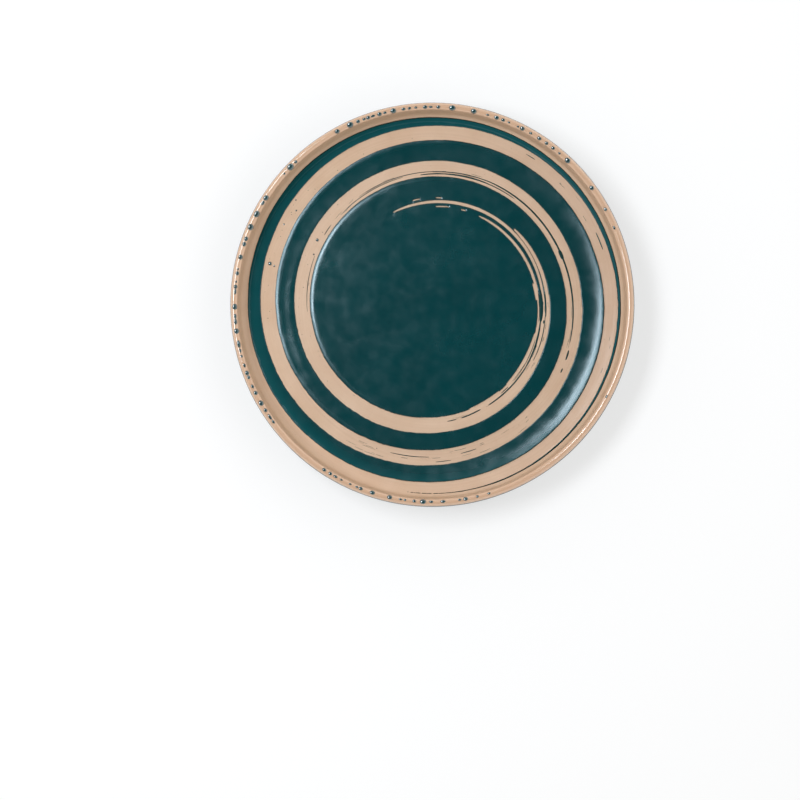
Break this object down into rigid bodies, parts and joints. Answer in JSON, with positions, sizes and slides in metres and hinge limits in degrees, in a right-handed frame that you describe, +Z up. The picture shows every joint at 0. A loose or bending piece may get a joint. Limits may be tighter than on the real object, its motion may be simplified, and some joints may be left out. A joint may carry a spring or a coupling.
{
  "type": "dinner plate",
  "caption": "Shallow coupe dinner plate with an upright rounded wall, a tapered foot ring, a pale liner glaze and a dark glaze left open along a brushed spiral.",
  "frame": {"origin": "middle of the foot ring's contact circle, at the height of the surface the plate stands on", "axes": "+Z up along the plate's axis of turning. +Y is the bearing from which the brush stroke's turns are counted, clockwise seen from above"},
  "size_m": [0.208, 0.208, 0.0285],
  "materials": {
    "clay": "bare fired stoneware, matt",
    "buff_glaze": "satin",
    "green_glaze": "satin"
  },
  "bodies": {
    "root": {"stoneware_body": "clay", "liner_glaze": "buff_glaze", "outer_glaze": "green_glaze", "underside_glaze": "green_glaze", "spiral_glaze": "green_glaze", "stroke_streaks": "green_glaze", "rim_beads": "green_glaze", "well_drops": "green_glaze"}
  },
  "joints": []
}
